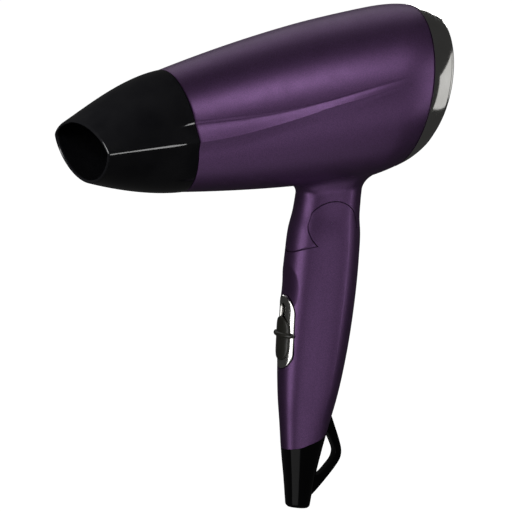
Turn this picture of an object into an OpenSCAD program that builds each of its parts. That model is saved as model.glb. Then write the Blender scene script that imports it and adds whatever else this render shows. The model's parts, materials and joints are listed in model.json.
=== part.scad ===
// Folding travel hair dryer with its handle open and its nozzle on.
// +Z is up and the air leaves towards -X. The origin is the mouth of the cord inlet at the handle's
// foot. Shell outlines are lofted through rings; everything that runs, fits or fastens is round stock.

/* [Barrel] */
// Largest outer diameter of the barrel
barrel_d = 82.4; // [81.6:0.4:84]
// Outer diameter where the nozzle meets the barrel
barrel_front_d = 62; // [61.5:0.5:63]
// Length of the barrel from the nozzle seam to the chrome ring, along its axis
barrel_len = 126; // [124:1:128]
// Slant of the intake end, top further back
rear_slant = 17; // [15:1:18]
// Wall of the purple shells
shell_wall = 2.2; // [2:0.1:2.4]
// Height of the side crease where it leaves the nozzle
crease_height = 2; // [1:0.5:2]

/* [Nozzle] */
// Length of the nozzle in front of the barrel
nozzle_len = 48; // [46:1:52]
// Width of the flat mouth
mouth_w = 65; // [62:1:66]
// Height of the flat mouth
mouth_h = 33.5; // [32:0.5:35]

/* [Handle] */
// Lean of the open handle, foot towards the nozzle
lean = 12; // [10:1:14]
// Hinge centre to the handle's foot
grip_len = 144; // [142:1:148]
// Front-to-back depth of the grip at its fullest
grip_depth = 38; // [37.5:0.5:38.5]
// Side-to-side width of the grip at its fullest
grip_width = 31.2; // [30.8:0.2:31.6]
// Radius of the round cheeks on the hinge
cheek_r = 12.8; // [12.6:0.1:13]
// Radius of the hinge pins
pin_r = 3; // [2.8:0.1:3.2]

/* [Switch] */
// Length of the chrome plate
plate_len = 37; // [36:1:38]
// Width of the chrome plate
plate_w = 17.6; // [17:0.2:18]
// Travel of the switch from off to high
switch_travel = 7.5; // [6:0.5:7.5]

/* [Cord inlet] */
// Radius of the bore that takes the cord
inlet_r = 3.6; // [3.2:0.1:3.8]
// Length of that bore
inlet_len = 16; // [14:1:18]

/* [Hidden] */
$fn = 64;

purple = [0.24, 0.15, 0.29];
black = [0.05, 0.05, 0.06];
far = 400;          // larger than anything in the part
gap = 0.3;          // between bodies that move past each other
seat = 0.05;        // between pieces fixed to each other
run = 0.05;         // radial play of a turning fit
ring_n = 40;        // points round a lofted ring

// Barrel, measured from the hinge centre along +X
barrel_r = barrel_d / 2;
front_r = barrel_front_d / 2;
front_x = -78;
rear_x = front_x + barrel_len;
full_x = 20;        // where the barrel is fullest
rear_r = barrel_r - 1.3;
rim_x = rear_x + 13.5;
rim_r = 35.2;
rim_in = 31.6;      // radius of the intake opening
rim_slant = 19;
barrel_rise = 61.8; // barrel axis above the hinge centre

// Handle, measured from the hinge centre down the handle
grip_shift = 1.1;   // grip centre line behind the hinge centre
ratio = grip_width / grip_depth;
foot_half = 5.9;
knuckle_r = 22.8;   // round knuckle of the stub, across the hinge axis
knuckle_y = 14.9;   // and along it
bush_r = 5;         // outer radius of the hinge bushes
cheek_y = 12.2;     // inner face of the cheeks
hinge_c = [grip_len * sin(lean) - grip_shift * cos(lean), 0,
           grip_len * cos(lean) + grip_shift * sin(lean)];
// Distance down the handle, and half the depth there
GRIP = [[-34, 17], [-12, 16.8], [-5, 17.2], [3, 18.4], [17, 19], [40, 19], [65, 17.7], [90, 14.8],
        [102, 12.2], [115, 9.6], [130, 7.3], [grip_len, foot_half]];
cap_at = 106;       // seam of the end cap on the grip's centre line
cap_slant = 36;     // and its slope, lower at the front
plate_mid = 37 + plate_len / 2;
slide_tilt = 3;     // the switch slides along the front face, which tapers

// ---- frames ----
module in_grip() {
    translate(hinge_c) rotate([0, lean, 0]) children();
}

// Barrel axis: local z runs towards the intake, with x = 0 over the hinge centre
module on_axis(x = 0) {
    translate(hinge_c + [x, 0, barrel_rise]) rotate([0, 90, 0]) children();
}

module in_barrel() {
    translate(hinge_c + [0, 0, barrel_rise]) children();
}

module on_rear(x, slant) {
    in_barrel() translate([x, 0, 0]) rotate([0, 90 + slant, 0]) children();
}

module half(side) {
    intersection() {
        children();
        translate([-far / 2, side > 0 ? 0 : -far / 2, -far / 2]) cube([far * 1.5, far / 2, far * 1.5]);
    }
}

// Shells are evaluated as one closed mesh
module as_mesh() {
    $fn = 36;
    resize([0, 0, 0]) children();
}

// ---- building blocks ----
// Closed skin through rings of points that run right-handed about the loft's direction
module loft(rings) {
    n = len(rings[0]);
    m = len(rings);
    polyhedron(
        points = [for (ring = rings) each ring],
        faces = concat(
            [[for (i = [0 : n - 1]) i]],
            [for (k = [0 : m - 2], i = [0 : n - 1])
                [k * n + i, (k + 1) * n + (i + 1) % n, k * n + (i + 1) % n]],
            [for (k = [0 : m - 2], i = [0 : n - 1])
                [k * n + i, (k + 1) * n + i, (k + 1) * n + (i + 1) % n]],
            [[for (i = [n - 1 : -1 : 0]) (m - 1) * n + i]]
        )
    );
}

// Closed ring swept through sections that meet again, without ends
module loop_loft(rings) {
    n = len(rings[0]);
    m = len(rings);
    polyhedron(
        points = [for (ring = rings) each ring],
        faces = concat(
            [for (k = [0 : m - 1], i = [0 : n - 1])
                [k * n + i, (k + 1) % m * n + (i + 1) % n, k * n + (i + 1) % n]],
            [for (k = [0 : m - 1], i = [0 : n - 1])
                [k * n + i, (k + 1) % m * n + i, (k + 1) % m * n + (i + 1) % n]]
        )
    );
}

module tube(r_out, r_in, h) {
    difference() {
        cylinder(r = r_out, h = h);
        translate([0, 0, -1]) cylinder(r = r_in, h = h + 2);
    }
}

// A round bar along Y between two places
module along_y(r, y0, y1) {
    translate([0, y0, 0]) rotate([-90, 0, 0]) cylinder(r = r, h = y1 - y0);
}

// Pan-head screw along +Z with its head at the origin
module screw(len, r = 1.2, head_r = 2.4, head_h = 1.4) {
    difference() {
        union() {
            cylinder(r = head_r, h = head_h);
            cylinder(r = r, h = head_h + len);
        }
        translate([-0.4, -1.5, -1]) cube([0.8, 3, 1.6]);
    }
}

// ---- barrel ----
function smooth(t) = let (c = min(1, max(0, t))) c * c * (3 - 2 * c);

function outer_r(x) = x < full_x
    ? barrel_r - (barrel_r - front_r) * pow((full_x - x) / (full_x - front_x), 1.7)
    : barrel_r - (barrel_r - rear_r) * pow((x - full_x) / (rear_x - full_x), 2);

function slant_at(x) = rear_slant * smooth(x / (rear_x - 5));

// Soft crease along each side, highest at the nozzle
function crease(x, a) = let (off = min(abs(a), abs(abs(a) - 180)))
    crease_height * (1 - smooth((x - front_x) / 105)) * exp(-pow(off / 8, 2));

function barrel_ring(x, inset, lift = 1) = [for (i = [0 : ring_n - 1])
    let (a = 360 * (i + 0.5) / ring_n, b = a > 180 ? a - 360 : a,
         r = outer_r(x) - inset + lift * crease(x, b), s = slant_at(x))
    [x + r * sin(a) * sin(s), r * cos(a), r * sin(a) * cos(s)]];

BARREL_X = [-64, -50, -36, -22, -8, 6, full_x, 31, 40];

module barrel_body() {
    loft([for (x = concat([front_x], BARREL_X, [rear_x])) barrel_ring(x, 0)]);
}

module barrel_hollow() {
    loft([for (x = concat([front_x - 2], BARREL_X, [rear_x + 2])) barrel_ring(x, shell_wall, 0)]);
}

// ---- grip outline ----
function grip_half(d) = lookup(d, GRIP);
function grip_round(d) = ratio + (1 - ratio) * smooth((d - 95) / (grip_len - 95));

function grip_ring(d, inset) = [for (i = [0 : ring_n - 1])
    let (a = 360 * (i + 0.5) / ring_n, ha = grip_half(d) - inset, hb = grip_half(d) * grip_round(d) - inset,
         c = cos(a), s = sin(a), p = 0.92)
    [grip_shift + ha * sign(c) * pow(abs(c), p), -hb * sign(s) * pow(abs(s), p), -d]];

module grip_body(stations, inset = 0) {
    loft([for (d = stations) grip_ring(d, inset)]);
}

// The knuckle is round about the hinge axis, so the handle can turn round it
module knuckle(r, y, flat_y) {
    rotate([90, 0, 0]) rotate_extrude($fn = 72)
        polygon(concat([[0, -flat_y]],
            [for (k = [-8 : 8]) let (v = flat_y * k / 8) [r * sqrt(1 - pow(v / y, 2)), v]],
            [[0, flat_y]]));
}

// Neck, front lobe and knuckle that stay with the barrel
module stub() {
    difference() {
        intersection() {
            grip_body([-34, -12, -5, 3, 17]);
            union() {
                translate([-far / 2, -far / 2, gap / 2]) cube(far);
                intersection() {
                    knuckle(knuckle_r, knuckle_y, cheek_y);
                    union() {
                        translate([-far - 2.3, -far / 2, -far / 2]) cube(far);
                        along_y(15.6, -far, far);
                    }
                }
            }
        }
        along_y(cheek_r + gap, -far, -cheek_y + gap);
        along_y(cheek_r + gap, cheek_y - gap, far);
        along_y(bush_r + 0.1, -far, -8);
        along_y(bush_r + 0.1, 8, far);
        // wire way through the knuckle
        translate([0, 0, -8]) cylinder(r = 5, h = 40);
    }
}

BARREL_SCREWS = [[-34, 31], [-34, -31]];
wire_way_r = 10.3;

module barrel_half(side) {
    as_mesh() half(side) difference() {
        union() {
            in_barrel() barrel_body();
            in_grip() stub();
        }
        difference() {
            in_barrel() barrel_hollow();
            for (p = BARREL_SCREWS)
                in_barrel() translate([p[0], 0, p[1]]) along_y(3.2, -14, 14);
        }
        // the neck's wire way opens into the barrel
        in_grip() translate([grip_shift, 0, 8]) cylinder(r = wire_way_r, h = 26);
        for (p = BARREL_SCREWS) in_barrel() translate([p[0], 0, p[1]]) {
            along_y(1.35, -10, 12.5);
            along_y(2.6, 10, 30);
        }
    }
}

module barrel_shell_left() {
    color(purple) barrel_half(-1);
}

module barrel_shell_right() {
    color(purple) barrel_half(1);
}

module barrel_screws() {
    color("silver") for (p = BARREL_SCREWS)
        in_barrel() translate([p[0], 11.6, p[1]]) rotate([90, 0, 0]) screw(19);
}

// ---- intake end ----
function rim_ring(t, r) = let (s = rear_slant + (rim_slant - rear_slant) * t,
    x = rear_x + seat + (rim_x - rear_x) * t)
    [for (i = [0 : ring_n - 1]) let (a = 360 * (i + 0.5) / ring_n)
        [x + r * sin(a) * sin(s), r * cos(a), r * sin(a) * cos(s)]];

function rim_out(t) = rear_r - (rear_r - rim_r) * pow(t, 2.2);

module rear_trim_ring() {
    color("silver") in_barrel() loop_loft(concat(
        [for (t = [0, 0.25, 0.5, 0.75, 1]) rim_ring(t, rim_out(t))],
        [rim_ring(1, rim_in), rim_ring(0.62, rim_in)],
        [for (t = [0.5, 0]) rim_ring(t, rim_out(t) - shell_wall)]));
}

module rear_grille() {
    color(black) on_rear(rim_x - 4, rim_slant) {
        for (r = [9 : 3.4 : 27]) tube(r + 0.7, r - 0.7, 1.6);
        cylinder(r = 6.5, h = 1.6);
        tube(rim_in - 0.8, 28.7, 1.6);
        for (a = [0 : 60 : 359]) rotate(a) translate([5, -0.7, 0]) cube([25, 1.4, 1.6]);
    }
}

// ---- outlet end ----
collar_r = 27.6;
collar_in = 26.4;

module outlet_collar() {
    color(black) {
        on_axis(-85.5) tube(collar_r, collar_in, 23.5);
        on_axis(-77.5) tube(28.5, collar_r - 0.1, 3.5);
    }
}

module outlet_grille() {
    color(black) on_axis(-73) {
        for (r = [5 : 4 : 22]) tube(r + 0.5, r - 0.5, 2);
        tube(collar_in - seat, 25, 2);
        for (a = [0 : 90 : 359]) rotate(a) translate([4.8, -0.5, 0]) cube([20.8, 1, 2]);
    }
}

function nozzle_t(x) = (front_x - x) / nozzle_len;
function nozzle_w(x) = front_r + crease_height + (mouth_w / 2 - front_r - crease_height) * nozzle_t(x);
function nozzle_h(x, share) = front_r - (front_r - share * mouth_h) * pow(max(0, nozzle_t(x)), 1.5);

// From round at the barrel to an oval at the mouth, which is pointed at its sides and fuller below
mouth_up = 0.43;    // share of the mouth's height above its side points
side_rise = 1;      // those points lie this far above the barrel axis

function nozzle_ring(x, inset) = let (t = nozzle_t(x), w = nozzle_w(x) - inset * 1.6)
    [for (i = [0 : ring_n - 1]) let (a = 360 * i / ring_n, up = sin(a) >= 0,
        q = 2 - (up ? 0.5 : 0.3) * t, h = nozzle_h(x, up ? mouth_up : 1 - mouth_up) - inset)
        [x, w * cos(a), side_rise * t + sign(sin(a)) * h * pow(abs(sin(a)), 2 / q)]];

NOZZLE_X = [for (k = [0 : 6]) front_x - nozzle_len + (nozzle_len - gap) * k / 6];

module concentrator_nozzle() {
    color(black) as_mesh() difference() {
        in_barrel() loft([for (x = NOZZLE_X) nozzle_ring(x, 0)]);
        in_barrel() loft([for (x = concat([NOZZLE_X[0] - 2], [for (k = [1 : 5]) NOZZLE_X[k]],
            [front_x + 2])) nozzle_ring(max(x, NOZZLE_X[0] - 2), 1.8)]);
        on_axis(-86) cylinder(r = collar_r + gap, h = 12);
    }
}

// ---- heater ----
sleeve_r = collar_in - 0.1;
board_half = 21.8;

module mica_sleeve() {
    color("tan") on_axis(-68) tube(sleeve_r, sleeve_r - 0.6, 63);
}

// One board, 0.8 thick across local y; its middle is waisted for the windings
module mica_board(slot_x) {
    difference() {
        union() {
            for (x = [-67, -20]) translate([x, -0.4, -sleeve_r + 0.8]) cube([5, 0.8, 2 * sleeve_r - 1.6]);
            translate([-63, -0.4, -board_half]) cube([44, 0.8, 2 * board_half]);
        }
        translate([slot_x, -1, -0.45]) cube([26.1, 2, 0.9]);
    }
}

module mica_board_upright() {
    color("tan") in_barrel() mica_board(-67.1);
}

module mica_board_level() {
    color("tan") in_barrel() rotate([90, 0, 0]) mica_board(-41);
}

module heater_coils() {
    color("silver") for (k = [0 : 8]) on_axis(-58 + 4.2 * k)
        rotate_extrude() translate([board_half + 0.65, 0]) circle(r = 0.5, $fn = 16);
}

module thermostat() {
    color("gray") in_barrel() {
        translate([-34, 0.45, 6]) cube([10, 3.5, 9]);
        translate([-29, 0, 10.5]) along_y(3.5, 3.9, 6);
    }
}

module thermal_fuse() {
    color("white") in_barrel() translate([-36, -2.6, 10]) rotate([0, 90, 0]) cylinder(r = 1.9, h = 9);
}

// ---- motor and fan ----
can_r = 13.5;
shaft_r = 1;
duct_r = 33.6;
fan_x = 27;

module fan_duct() {
    color(black) on_axis() {
        rotate_extrude() polygon([[sleeve_r + seat, -10], [sleeve_r + 1.2, -10], [sleeve_r + 1.2, -5],
            [duct_r + 1.2, 8], [duct_r + 1.2, 38], [duct_r, 38], [duct_r, 8.5], [sleeve_r - 0.5, -4.5],
            [sleeve_r + seat, -4.8]]);
        translate([0, 0, 16]) tube(37.4, duct_r + 1, 3);
        tube(can_r + 1.5, can_r + seat, 22);
        for (a = [0 : 60 : 359]) rotate(a + 30)
            translate([can_r + 1.2, -0.6, 9]) cube([duct_r - can_r - 1, 1.2, 12]);
    }
}

module motor_can() {
    color("silver") on_axis(-4) difference() {
        cylinder(r = can_r, h = 26);
        translate([0, 0, -1]) cylinder(r = can_r - 0.8, h = 26);
        cylinder(r = 2.5 + seat, h = 60);
    }
}

module motor_end_cap() {
    color("dimgray") on_axis(-7) difference() {
        cylinder(r = can_r, h = 2.9);
        translate([0, 0, -1]) cylinder(r = 2.5 + seat, h = 5);
    }
}

module motor_bearings() {
    color("goldenrod") for (x = [-7, 19.6]) on_axis(x) tube(2.5, shaft_r + run, 2.4);
}

module motor_magnets() {
    color("dimgray") on_axis(-2) for (a = [0, 180]) rotate(a) difference() {
        tube(can_r - 0.9, 10.2, 20);
        translate([-far / 2, -far, -1]) cube([far, far + 3, 40]);
    }
}

module motor_shaft() {
    color("silver") on_axis(-8) cylinder(r = shaft_r, h = 48);
}

module armature() {
    color("firebrick") on_axis(0) difference() {
        cylinder(r = 9.4, h = 15);
        translate([0, 0, -1]) cylinder(r = shaft_r + 0.01, h = 20);
        for (a = [0 : 120 : 359]) rotate(a) translate([4, -1, -1]) cube([10, 2, 20]);
    }
}

module commutator() {
    color("goldenrod") on_axis(-3.6) tube(3.2, shaft_r + 0.01, 3.4);
}

module fan() {
    color(black) on_axis(fan_x) {
        difference() {
            union() {
                cylinder(r = 9, h = 12);
                for (a = [0 : 360 / 7 : 359]) intersection() {
                    rotate(a) translate([8, 0, 6]) rotate([38, 0, 0]) translate([0, -8.6, -0.7])
                        cube([duct_r, 17.2, 1.4]);
                    cylinder(r = duct_r - 0.9, h = 12);
                }
            }
            translate([0, 0, -1]) cylinder(r = shaft_r + 0.01, h = 20);
            translate([0, 0, -1]) cylinder(r = 7.4, h = 3);
        }
    }
}

module rectifier_board() {
    color("darkgreen") on_axis(-10.5) tube(12, shaft_r + 1.2, 1.2);
}

module rectifier_diodes() {
    color("black") for (a = [45 : 90 : 359])
        on_axis(-12.1) rotate(a) translate([6.5, 0, 0]) rotate([90, 0, 0])
            translate([0, 0, -2.5]) cylinder(r = 1.4, h = 5);
}

// ---- hinge ----
module hinge_bushes() {
    color("white") in_grip() for (side = [0, 1]) mirror([0, side, 0]) difference() {
        along_y(bush_r, 8.2, cheek_y - gap);
        along_y(pin_r + run, 0, far);
    }
}

module hinge_pins() {
    color("silver") in_grip() for (side = [0, 1]) mirror([0, side, 0]) along_y(pin_r, 8.4, 14.2);
}

// A sprung plate in the handle rides on the knuckle and holds the handle open or folded
module detent_plate() {
    color("silver") in_grip() translate([0, 0, -25.2]) cylinder(r = 4.2, h = 1.6);
}

module detent_spring() {
    color("silver") in_grip() translate([0, -3.5, -29.3]) rotate([-90, 0, 0]) difference() {
        tube(4.05, 3.5, 7);
        translate([0, -0.6, -1]) cube([10, 1.2, 10]);
    }
}

// ---- handle ----
HANDLE_D = [-14, -5, 3, 10, 17, 28, 40, 52, 65, 78, 90, 102, 115, 126];
HANDLE_SCREWS = [[9.5, 30], [5, 80]];

// Side outline of the shells: round heads, shoulders below the hinge
module handle_side() {
    rotate([90, 0, 0]) translate([0, 0, -far / 2]) linear_extrude(far) union() {
        circle(r = cheek_r);
        polygon([[-far, -2], [-10.5, -2], [0, -gap / 2], [far, -gap / 2], [far, -far], [-far, -far]]);
    }
}

// What lies above the end cap's slanted seam
module above_seam(shift = 0) {
    translate([grip_shift, 0, shift - cap_at]) rotate([0, -cap_slant, 0])
        translate([-far / 2, -far / 2, 0]) cube(far);
}

module obround(w, len, h) {
    linear_extrude(h) {
        for (v = [-1, 1]) translate([0, v * (len - w) / 2]) circle(d = w);
        square([w, len - w], center = true);
    }
}

// Switch frame: on the front face at the plate's middle, z up the slide, x into the handle
module in_switch(up = 0) {
    in_grip() translate([grip_shift - grip_half(plate_mid), 0, -plate_mid])
        rotate([0, -slide_tilt, 0]) translate([0, 0, up]) children();
}

// A rounded window of width w and height len, cut along x
module window(w, len, depth = 30) {
    rotate([0, 90, 0]) rotate(90) translate([0, 0, -depth / 2]) obround(w, len, depth);
}

front_r0 = 13;      // the front face's radius across the switch
pad_len = 22;
pad_up = -3.2;      // resting place of the thumb pad, switched off
stem_len = 19;

module front_band(r_out, r_in, h) {
    translate([front_r0, 0, -h / 2]) tube(r_out, r_in, h);
}

module switch_bezel() {
    color("silver") in_switch() intersection() {
        difference() {
            front_band(front_r0, front_r0 - 1.8, 60);
            translate([0, 0, 0.3]) window(8.4, stem_len + switch_travel + 2);
        }
        window(plate_w, plate_len, 20);
    }
}

module switch_slider() {
    color(black) in_switch(pad_up) {
        intersection() {
            front_band(front_r0 + 1.1, front_r0 + gap, 40);
            window(13.6, pad_len, 20);
        }
        intersection() {
            front_band(front_r0 + 2.9, front_r0 + 1, 2.6);
            translate([-5, -8.6, -5]) cube([10, 17.2, 10]);
        }
        intersection() {
            translate([-0.8, -10, -20]) cube([4.6, 20, 40]);
            window(7.6, stem_len);
        }
    }
}

module switch_carriage() {
    color("white") in_switch(pad_up) translate([3.8, -5.4, -9]) cube([2.6, 10.8, 18]);
}

module switch_body() {
    color(black) in_switch() translate([6.8, -6.5, -19]) cube([11, 13, 36]);
}

module switch_contacts() {
    color("goldenrod") in_switch() for (z = [-14, -2, 10])
        translate([17.8, -2, z]) cube([4, 4, 0.8]);
}

// Space inside the grip, less the screw bosses and the detent spring's seat
module grip_hollow() {
    difference() {
        intersection() {
            grip_body([-6, 3, 10, 17, 28, 40, 52, 65, 78, 90, 102, 115, 127], 2.3);
            translate([-far / 2, 0.4 - cheek_y, -far / 2]) cube([far, 2 * cheek_y - 0.8, far]);
        }
        translate([-9, -far / 2, -34.9]) cube([18, far, 1.5]);
        for (p = HANDLE_SCREWS) translate([p[0], 0, -p[1]]) along_y(3, -far, far);
    }
}

module handle_half(side) {
    as_mesh() half(side) difference() {
        in_grip() intersection() {
            grip_body(HANDLE_D);
            handle_side();
            above_seam();
        }
        in_grip() grip_hollow();
        // room for the stub between the cheeks
        in_grip() translate([-far / 2, -cheek_y, -gap / 2]) cube([far, 2 * cheek_y, far]);
        in_grip() knuckle(knuckle_r + gap, knuckle_y * (1 + gap / knuckle_r), cheek_y);
        in_grip() along_y(pin_r + 0.1, -14.3, 14.3);
        in_grip() for (p = HANDLE_SCREWS) translate([p[0], 0, -p[1]]) {
            along_y(1.35, -7.5, 12);
            along_y(2.6, 6.5, 20);
        }
        in_switch() window(plate_w + 0.4, plate_len + 0.4, 18);
    }
}

module handle_shell_left() {
    color(purple) handle_half(-1);
}

module handle_shell_right() {
    color(purple) handle_half(1);
}

module handle_screws() {
    color("silver") in_grip() for (p = HANDLE_SCREWS)
        translate([p[0], 8, -p[1]]) rotate([90, 0, 0]) screw(13);
}

module suppressor_capacitor() {
    color("gold") in_grip() translate([-5, -4.5, -99]) cube([11, 9, 12]);
}

// ---- foot ----
gland_top = grip_len - inlet_len;
gland_r = 5;

module cord_gland() {
    color(black) in_grip() translate([grip_shift, 0, -grip_len]) difference() {
        union() {
            cylinder(r = gland_r, h = inlet_len);
            translate([0, 0, inlet_len - 1.4]) cylinder(r = 5.6, h = 1.4);
        }
        translate([0, 0, -1]) cylinder(r = inlet_r, h = inlet_len + 2);
    }
}

// Points of an arc in the cap's side view
function arc(x, d, r, from, to) = [for (k = [0 : 8]) let (a = from + (to - from) * k / 8)
    [x + r * cos(a), -d + r * sin(a)]];

// Hanging loop behind the cap: a strap round a rounded triangle
module hanging_loop() {
    rotate([90, 0, 0]) translate([0, 0, -2.6]) linear_extrude(5.2) difference() {
        polygon(concat([[6, -101.5], [14.6, -97.4]], arc(16.4, 115.6, 6.4, 18, -42),
            [[8.6, -138], [3, -139]]));
        polygon(concat([[11.8, -104.6], [12.9, -105]], arc(14.7, 115.4, 2.8, 24, -40), [[9.8, -127.6], [7, -127]]));
    }
}

CAP_D = [84, 90, 102, 115, 130, grip_len];

module end_cap() {
    color(black) as_mesh() in_grip() difference() {
        union() {
            difference() {
                grip_body(CAP_D);
                above_seam();
            }
            intersection() {
                grip_body([84, 90, 102, 115, 130], 2.5);
                difference() {
                    above_seam(-1);
                    above_seam(5);
                }
            }
            difference() {
                hanging_loop();
                grip_body([84, 90, 102, 115, 130], 2);
                above_seam();
            }
        }
        difference() {
            union() {
                grip_body([80, 84, 90, 102, 112], 4);
                grip_body([111, 115, 124], 2);
            }
            translate([-4, -far, -130]) cube([10.2, far, 11]);
        }
        for (v = [-1, 1]) translate([grip_shift + 3 * v, 0, -121.3]) along_y(0.75, -2, 1);
        translate([grip_shift, 0, -gland_top]) cylinder(r = 5.8, h = 6);
        translate([grip_shift, 0, -gland_top - 1.5]) cylinder(r = 5.8, h = 3);
        translate([grip_shift, 0, -grip_len - 1]) cylinder(r = gland_r + 0.15, h = 20);
    }
}

module cord_clamp() {
    color(black) in_grip() difference() {
        translate([grip_shift - 4.2, 0.4, -123.6]) cube([8.4, 2, 4.6]);
        translate([grip_shift, 0, -130]) cylinder(r = 1.6, h = 20);
        for (v = [-1, 1]) translate([grip_shift + 3 * v, 0, -121.3]) along_y(0.8, -1, 5);
    }
}

module clamp_screws() {
    color("silver") in_grip() for (v = [-1, 1])
        translate([grip_shift + 3 * v, 3.4, -121.3]) rotate([90, 0, 0]) screw(3.6, 0.7, 1.2, 0.9);
}

barrel_shell_left();
barrel_shell_right();
rear_trim_ring();
rear_grille();
outlet_collar();
outlet_grille();
concentrator_nozzle();
mica_sleeve();
mica_board_upright();
mica_board_level();
heater_coils();
thermostat();
thermal_fuse();
fan_duct();
motor_can();
motor_end_cap();
motor_magnets();
motor_bearings();
motor_shaft();
armature();
commutator();
fan();
rectifier_board();
rectifier_diodes();
barrel_screws();
hinge_bushes();
hinge_pins();
detent_plate();
detent_spring();
handle_shell_left();
handle_shell_right();
switch_bezel();
switch_slider();
switch_body();
switch_carriage();
switch_contacts();
suppressor_capacitor();
cord_clamp();
clamp_screws();
cord_gland();
end_cap();
handle_screws();
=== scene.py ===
"""Looks of the folding travel hair dryer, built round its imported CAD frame.

Shapes are worked out in millimetres from the hinge centre and the barrel axis, which come from the
record's joints, and are scaled to metres when a piece is finished.
"""

import json
import math

import bmesh
import bpy
import numpy as np
from mathutils import Matrix, Vector


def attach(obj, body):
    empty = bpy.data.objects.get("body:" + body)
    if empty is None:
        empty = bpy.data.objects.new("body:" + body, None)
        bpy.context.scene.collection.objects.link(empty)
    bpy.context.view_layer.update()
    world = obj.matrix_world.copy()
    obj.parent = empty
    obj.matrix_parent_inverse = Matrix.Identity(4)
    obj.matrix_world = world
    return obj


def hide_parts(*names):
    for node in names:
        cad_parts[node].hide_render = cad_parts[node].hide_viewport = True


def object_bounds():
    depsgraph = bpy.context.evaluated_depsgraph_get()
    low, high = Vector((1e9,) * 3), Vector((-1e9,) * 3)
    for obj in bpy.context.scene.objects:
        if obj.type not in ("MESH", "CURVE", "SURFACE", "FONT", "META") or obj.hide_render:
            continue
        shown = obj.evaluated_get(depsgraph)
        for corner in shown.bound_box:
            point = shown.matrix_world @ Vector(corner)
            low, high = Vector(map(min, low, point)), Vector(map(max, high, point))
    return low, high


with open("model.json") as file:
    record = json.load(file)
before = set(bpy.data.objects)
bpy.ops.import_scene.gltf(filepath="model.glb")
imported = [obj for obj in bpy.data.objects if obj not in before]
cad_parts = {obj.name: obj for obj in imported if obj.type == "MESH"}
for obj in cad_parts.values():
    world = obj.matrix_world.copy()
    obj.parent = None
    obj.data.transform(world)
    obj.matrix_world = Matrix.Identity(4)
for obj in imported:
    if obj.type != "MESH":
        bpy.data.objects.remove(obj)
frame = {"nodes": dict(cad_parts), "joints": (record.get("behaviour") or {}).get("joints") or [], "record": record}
cad_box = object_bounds()

MM = 0.001
FAR = 300.0  # longer than anything in the object, in mm
GAP = 0.3  # between bodies that move past each other
SEAM = 0.03  # each half shell keeps this far from the middle plane

joints = {j["name"]: j for j in frame["joints"]}
HINGE = Vector(joints["handle_fold"]["pos_m"]) / MM
AXIS = Vector(joints["fan_spin"]["pos_m"]) / MM
LEAN = math.radians(12)  # of the open handle, its foot forwards

# The barrel's frame has X along its axis, to the rear. The grip's frame starts on the hinge pin, with X
# to the back and Z up the handle, so a point d down the grip is at z = -d.
BARREL = Matrix.Translation(AXIS)
GRIP = Matrix.Translation(HINGE) @ Matrix.Rotation(LEAN, 4, "Y")


# ---- curves and sections ----


def smooth(t):
    c = np.clip(t, 0.0, 1.0)
    return c * c * (3 - 2 * c)


def curve(points):
    """A smooth function through (x, y) points, straight beyond its ends."""
    xs, ys = np.array(points, float).T
    slope = np.gradient(ys, xs)

    def value(x):
        x = np.asarray(x, float)
        i = np.clip(np.searchsorted(xs, x) - 1, 0, len(xs) - 2)
        width = xs[i + 1] - xs[i]
        t = (x - xs[i]) / width
        inside = (
            (2 * t**3 - 3 * t**2 + 1) * ys[i]
            + (t**3 - 2 * t**2 + t) * width * slope[i]
            + (3 * t**2 - 2 * t**3) * ys[i + 1]
            + (t**3 - t**2) * width * slope[i + 1]
        )
        before = ys[0] + (x - xs[0]) * slope[0]
        after = ys[-1] + (x - xs[-1]) * slope[-1]
        return np.where(x < xs[0], before, np.where(x > xs[-1], after, inside))

    return value


def steps(start, end, size):
    """Even steps from start to end, as near to size as they can be."""
    return np.linspace(start, end, max(2, int(round(abs(end - start) / size)) + 1))


def circle(radius, sides, centre=(0, 0)):
    turn = np.linspace(0, 2 * math.pi, sides, endpoint=False)
    return [(centre[0] + radius * math.cos(t), centre[1] + radius * math.sin(t)) for t in turn]


# ---- mesh building ----


def new_object(name, verts, faces):
    mesh = bpy.data.meshes.new(name)
    mesh.from_pydata([tuple(v) for v in verts], [], faces)
    mesh.validate()
    work = bmesh.new()
    work.from_mesh(mesh)
    bmesh.ops.recalc_face_normals(work, faces=work.faces)
    work.to_mesh(mesh)
    work.free()
    made = bpy.data.objects.new(name, mesh)
    bpy.context.scene.collection.objects.link(made)
    return made


def loft(rings, name="tool", place=None, closed=False):
    """A solid skin through rings of points. A closed loft joins its last ring to its first, as a tube
    that runs back through its own inside does; otherwise each end gets a cap."""
    rings = np.asarray(rings, float)
    m, n = rings.shape[:2]
    faces = []
    for k in range(m if closed else m - 1):
        a, b = k * n, (k + 1) % m * n
        for i in range(n):
            j = (i + 1) % n
            faces.append((a + i, a + j, b + j, b + i))
    if not closed:
        faces.append(tuple(reversed(range(n))))
        faces.append(tuple(range((m - 1) * n, m * n)))
    made = new_object(name, rings.reshape(-1, 3), faces)
    if place is not None:
        made.data.transform(place)
    return made


def block(low, high, place=None):
    (x0, y0, z0), (x1, y1, z1) = low, high
    ring = [(x0, y0), (x1, y0), (x1, y1), (x0, y1)]
    return loft([[(x, y, z) for x, y in ring] for z in (z0, z1)], place=place)


def prism_y(outline, y0, y1, place=None):
    """A side outline of (x, z) points, run along Y."""
    return loft([[(x, y, z) for x, z in outline] for y in (y0, y1)], place=place)


def rod_y(radius, y0, y1, centre=(0, 0), place=None, sides=144):
    """A round bar along Y about the point centre = (x, z)."""
    return prism_y(circle(radius, sides, centre), y0, y1, place)


def rod_z(radius, z0, z1, centre=(0, 0), place=None, sides=96):
    """A round bar along Z about the point centre = (x, y)."""
    return loft([[(x, y, z) for x, y in circle(radius, sides, centre)] for z in (z0, z1)], place=place)


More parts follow.
